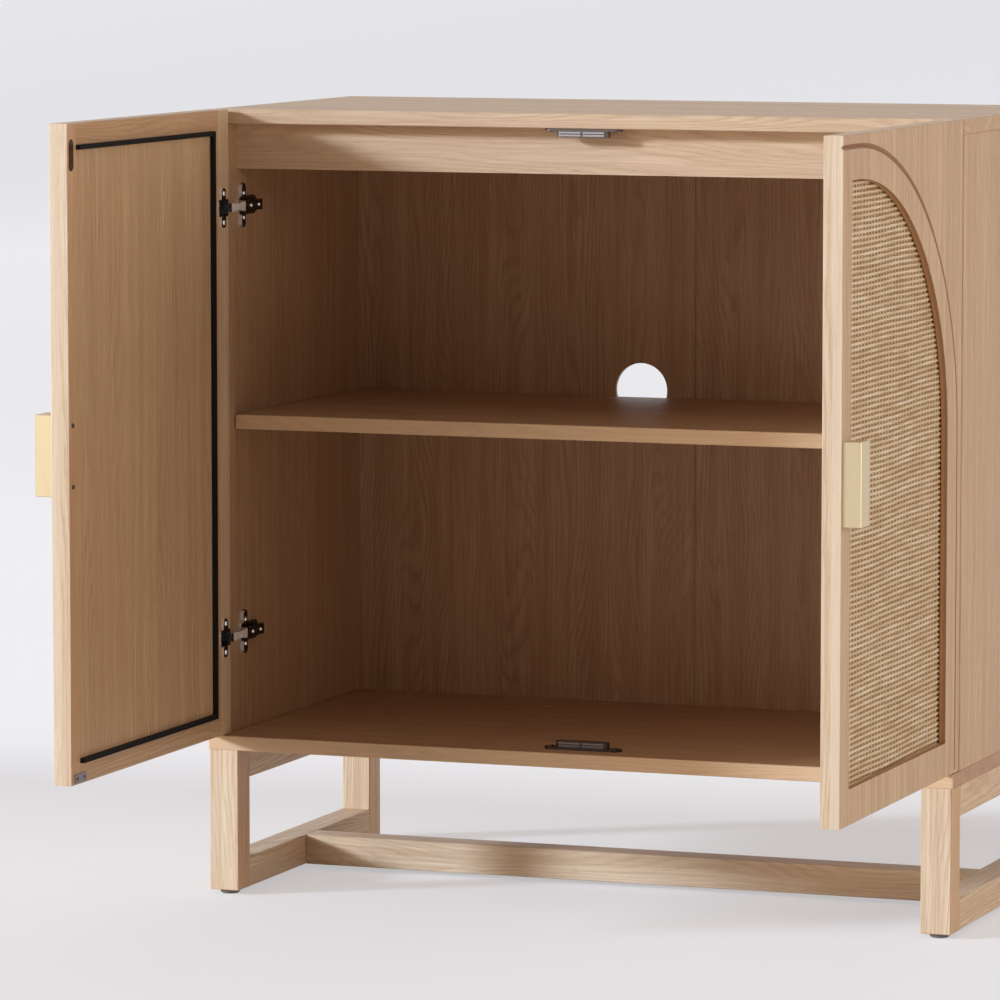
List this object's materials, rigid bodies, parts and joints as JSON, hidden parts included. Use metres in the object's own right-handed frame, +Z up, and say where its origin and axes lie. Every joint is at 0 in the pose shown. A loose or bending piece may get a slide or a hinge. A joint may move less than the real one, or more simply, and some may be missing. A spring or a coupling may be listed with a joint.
{
  "type": "record cabinet",
  "caption": "Free-standing record cabinet on a timber frame base, with a shelf and a pair of doors with an arched, cane-filled recess, on concealed hinges",
  "frame": {"origin": "middle of the bounding box with both doors open square, at floor level", "axes": "+X to the right seen from the front, +Y from the front to the back, +Z up"},
  "size_m": [1.064, 0.9966, 1.032],
  "materials": {
    "oak_veneer": "matte oiled oak veneer on board, long straight grain",
    "solid_oak": "matte oiled solid oak with eased edges",
    "woven_cane": "open octagonal cane webbing on a dark backing, matte",
    "brass": "brushed and lacquered, satin",
    "nickel_plate": "nickel-plated pressed steel, smooth",
    "steel_screws": "zinc-plated, satin",
    "bronzed_steel": "dark bronze lacquer, satin",
    "magnet_steel": "bare pole strips, ground",
    "black_strip": "matte black strip",
    "nylon": "matte nylon"
  },
  "bodies": {
    "carcass": {"bottom_panel": "oak_veneer", "top_panel": "oak_veneer", "left_side_panel": "oak_veneer", "right_side_panel": "oak_veneer", "left_back_panel": "oak_veneer", "right_back_panel": "oak_veneer", "back_batten": "solid_oak", "back_screws": "steel_screws", "front_rail": "oak_veneer", "shelf": "oak_veneer", "shelf_pins": "steel_screws", "carcass_dowels": "solid_oak", "left_front_leg": "solid_oak", "left_rear_leg": "solid_oak", "left_upper_rail": "solid_oak", "left_lower_rail": "solid_oak", "right_front_leg": "solid_oak", "right_rear_leg": "solid_oak", "right_upper_rail": "solid_oak", "right_lower_rail": "solid_oak", "base_stretcher": "solid_oak", "glides": "nylon", "base_bolts": "steel_screws", "catch_plates": "bronzed_steel", "catch_housings": "bronzed_steel", "catch_magnets": "magnet_steel", "catch_screws": "steel_screws", "hinge_plates": "nickel_plate", "hinge_arms": "nickel_plate", "hinge_screws": "steel_screws"},
    "left_door": {"left_door_front_board": "oak_veneer", "left_door_cane_panel": "woven_cane", "left_door_inner_panel": "oak_veneer", "left_door_edge_strip": "black_strip", "left_door_pull": "brass", "left_door_strikes": "bronzed_steel", "left_door_hinge_cups": "nickel_plate", "left_door_hinge_pins": "steel_screws", "left_door_screws": "steel_screws", "left_door_free_stile": "solid_oak", "left_door_hinge_stile": "solid_oak", "left_door_top_rail": "solid_oak", "left_door_bottom_rail": "solid_oak"},
    "right_door": {"right_door_front_board": "oak_veneer", "right_door_cane_panel": "woven_cane", "right_door_inner_panel": "oak_veneer", "right_door_edge_strip": "black_strip", "right_door_pull": "brass", "right_door_strikes": "bronzed_steel", "right_door_hinge_cups": "nickel_plate", "right_door_hinge_pins": "steel_screws", "right_door_screws": "steel_screws", "right_door_free_stile": "solid_oak", "right_door_hinge_stile": "solid_oak", "right_door_top_rail": "solid_oak", "right_door_bottom_rail": "solid_oak"}
  },
  "joints": [
    {"name": "left_door_hinge", "type": "hinge", "parent": "carcass", "child": "left_door", "pos_m": [-0.4985, -0.00125, 0.62225], "axis": [0, 0, 1], "range_deg": [-8, 90]},
    {"name": "right_door_hinge", "type": "hinge", "parent": "carcass", "child": "right_door", "pos_m": [0.4985, -0.00125, 0.62225], "axis": [0, 0, 1], "range_deg": [-90, 8]}
  ]
}
